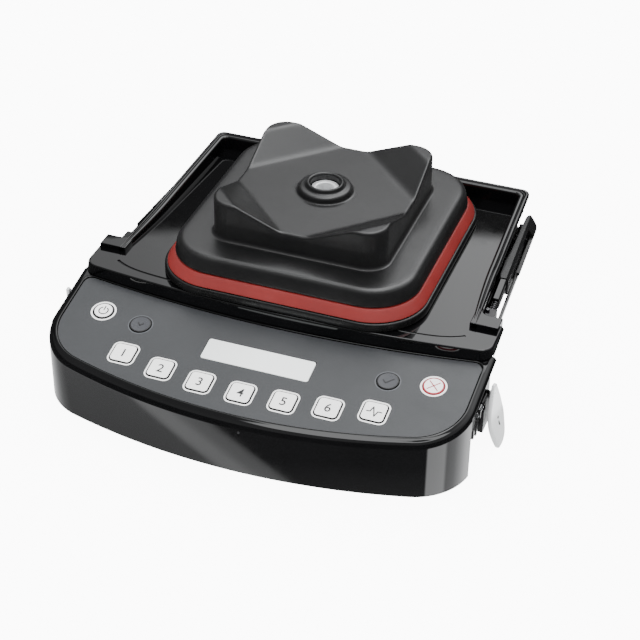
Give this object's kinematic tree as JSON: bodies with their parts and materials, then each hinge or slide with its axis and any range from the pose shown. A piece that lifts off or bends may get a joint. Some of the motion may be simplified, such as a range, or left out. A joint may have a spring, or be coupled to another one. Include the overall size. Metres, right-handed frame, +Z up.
{
  "type": "countertop blender top housing",
  "caption": "Countertop blender top housing with deck, bowed control panel, round and square keys, display window, jar pad on a red ring, drive socket and side latches.",
  "frame": {"origin": "centre of the footprint on the surface that the four posts and the front wall stand on", "axes": "+X to the right as seen from the control panel, +Y to the back, +Z up"},
  "size_m": [0.2334, 0.2068, 0.0881],
  "materials": {
    "gloss_black_plastic": "glossy moulded ABS",
    "overlay_grey": "satin printed membrane",
    "key_white": "satin white",
    "key_grey": "satin dark grey",
    "display_clear": "smooth clear window over a pale display",
    "matte_black_plastic": "fine texture",
    "board_green": "coated circuit board",
    "pad_rubber": "matte black elastomer",
    "red_rubber": "satin red elastomer",
    "plated_steel": "bright zinc plated",
    "cast_aluminium": "as cast and machined",
    "silver_plastic": "smooth silver",
    "polished_steel": "turned and polished"
  },
  "bodies": {
    "housing": {"top_housing": "gloss_black_plastic", "control_housing": "gloss_black_plastic", "control_overlay": "overlay_grey", "display_window": "display_clear", "display_module": "matte_black_plastic", "control_board": "board_green", "board_connector": "key_white", "jar_pad": "pad_rubber", "red_ring": "red_rubber", "pad_base_ring": "pad_rubber", "pad_retainer": "plated_steel", "bearing_housing": "cast_aluminium", "drive_bearing": "plated_steel", "pad_screw_1": "plated_steel", "pad_screw_2": "plated_steel", "pad_screw_3": "plated_steel", "pad_screw_4": "plated_steel", "housing_screw_1": "plated_steel", "housing_screw_2": "plated_steel", "housing_screw_3": "plated_steel", "housing_screw_4": "plated_steel", "latch_guide_right": "matte_black_plastic", "guide_screw_right": "plated_steel", "lever_bracket_right": "matte_black_plastic", "lever_pin_right": "plated_steel", "lever_spring_right": "plated_steel", "bracket_screw_right": "plated_steel", "latch_spring_right": "plated_steel", "latch_guide_left": "matte_black_plastic", "guide_screw_left": "plated_steel", "lever_bracket_left": "matte_black_plastic", "lever_pin_left": "plated_steel", "lever_spring_left": "plated_steel", "bracket_screw_left": "plated_steel", "latch_spring_left": "plated_steel"},
    "drive": {"drive_shaft": "plated_steel", "drive_socket": "polished_steel", "retaining_ring": "plated_steel"},
    "key_power": {"key_power": "key_white"},
    "key_select": {"key_select": "key_grey"},
    "key_1": {"key_1": "key_white"},
    "key_2": {"key_2": "key_white"},
    "key_3": {"key_3": "key_white"},
    "key_4": {"key_4": "key_white"},
    "key_5": {"key_5": "key_white"},
    "key_6": {"key_6": "key_white"},
    "key_pulse": {"key_pulse": "key_white"},
    "key_confirm": {"key_confirm": "key_grey"},
    "key_cancel": {"key_cancel": "key_white"},
    "latch_right": {"latch_slider_right": "matte_black_plastic", "latch_rod_right": "gloss_black_plastic"},
    "lever_right": {"lever_body_right": "matte_black_plastic", "lever_paddle_right": "silver_plastic"},
    "latch_left": {"latch_slider_left": "matte_black_plastic", "latch_rod_left": "gloss_black_plastic"},
    "lever_left": {"lever_body_left": "matte_black_plastic", "lever_paddle_left": "silver_plastic"}
  },
  "joints": [
    {"name": "drive_spin", "type": "hinge", "parent": "housing", "child": "drive", "pos_m": [0, 0.029, 0.0485], "axis": [0, 0, 1], "continuous": true},
    {"name": "key_power_press", "type": "slide", "parent": "housing", "child": "key_power", "axis": [0, 0.1882, -0.9821], "range_m": [0, 0.0008], "stiffness_N_per_m": 500},
    {"name": "key_select_press", "type": "slide", "parent": "housing", "child": "key_select", "axis": [0, 0.1882, -0.9821], "range_m": [0, 0.0008], "stiffness_N_per_m": 500},
    {"name": "key_1_press", "type": "slide", "parent": "housing", "child": "key_1", "axis": [0, 0.1882, -0.9821], "range_m": [0, 0.0008], "stiffness_N_per_m": 500},
    {"name": "key_2_press", "type": "slide", "parent": "housing", "child": "key_2", "axis": [0, 0.1882, -0.9821], "range_m": [0, 0.0008], "stiffness_N_per_m": 500},
    {"name": "key_3_press", "type": "slide", "parent": "housing", "child": "key_3", "axis": [0, 0.1882, -0.9821], "range_m": [0, 0.0008], "stiffness_N_per_m": 500},
    {"name": "key_4_press", "type": "slide", "parent": "housing", "child": "key_4", "axis": [0, 0.1882, -0.9821], "range_m": [0, 0.0008], "stiffness_N_per_m": 500},
    {"name": "key_5_press", "type": "slide", "parent": "housing", "child": "key_5", "axis": [0, 0.1882, -0.9821], "range_m": [0, 0.0008], "stiffness_N_per_m": 500},
    {"name": "key_6_press", "type": "slide", "parent": "housing", "child": "key_6", "axis": [0, 0.1882, -0.9821], "range_m": [0, 0.0008], "stiffness_N_per_m": 500},
    {"name": "key_pulse_press", "type": "slide", "parent": "housing", "child": "key_pulse", "axis": [0, 0.1882, -0.9821], "range_m": [0, 0.0008], "stiffness_N_per_m": 500},
    {"name": "key_confirm_press", "type": "slide", "parent": "housing", "child": "key_confirm", "axis": [0, 0.1882, -0.9821], "range_m": [0, 0.0008], "stiffness_N_per_m": 500},
    {"name": "key_cancel_press", "type": "slide", "parent": "housing", "child": "key_cancel", "axis": [0, 0.1882, -0.9821], "range_m": [0, 0.0008], "stiffness_N_per_m": 500},
    {"name": "latch_right_slide", "type": "slide", "parent": "housing", "child": "latch_right", "axis": [0.055, -0.9985, 0], "range_m": [0, 0.004], "stiffness_N_per_m": 120, "deforming": ["latch_spring_right"]},
    {"name": "latch_left_slide", "type": "slide", "parent": "housing", "child": "latch_left", "axis": [-0.055, -0.9985, 0], "range_m": [0, 0.004], "stiffness_N_per_m": 120, "deforming": ["latch_spring_left"]},
    {"name": "lever_right_swing", "type": "hinge", "parent": "housing", "child": "lever_right", "pos_m": [0.10735, -0.0461, 0.0305], "axis": [0, -1, 0], "range_deg": [0, 16], "stiffness_Nm_per_rad": 0.2, "deforming": ["lever_spring_right"]},
    {"name": "lever_left_swing", "type": "hinge", "parent": "housing", "child": "lever_left", "pos_m": [-0.10735, -0.0461, 0.0305], "axis": [0, 1, 0], "range_deg": [0, 16], "stiffness_Nm_per_rad": 0.2, "deforming": ["lever_spring_left"]}
  ]
}
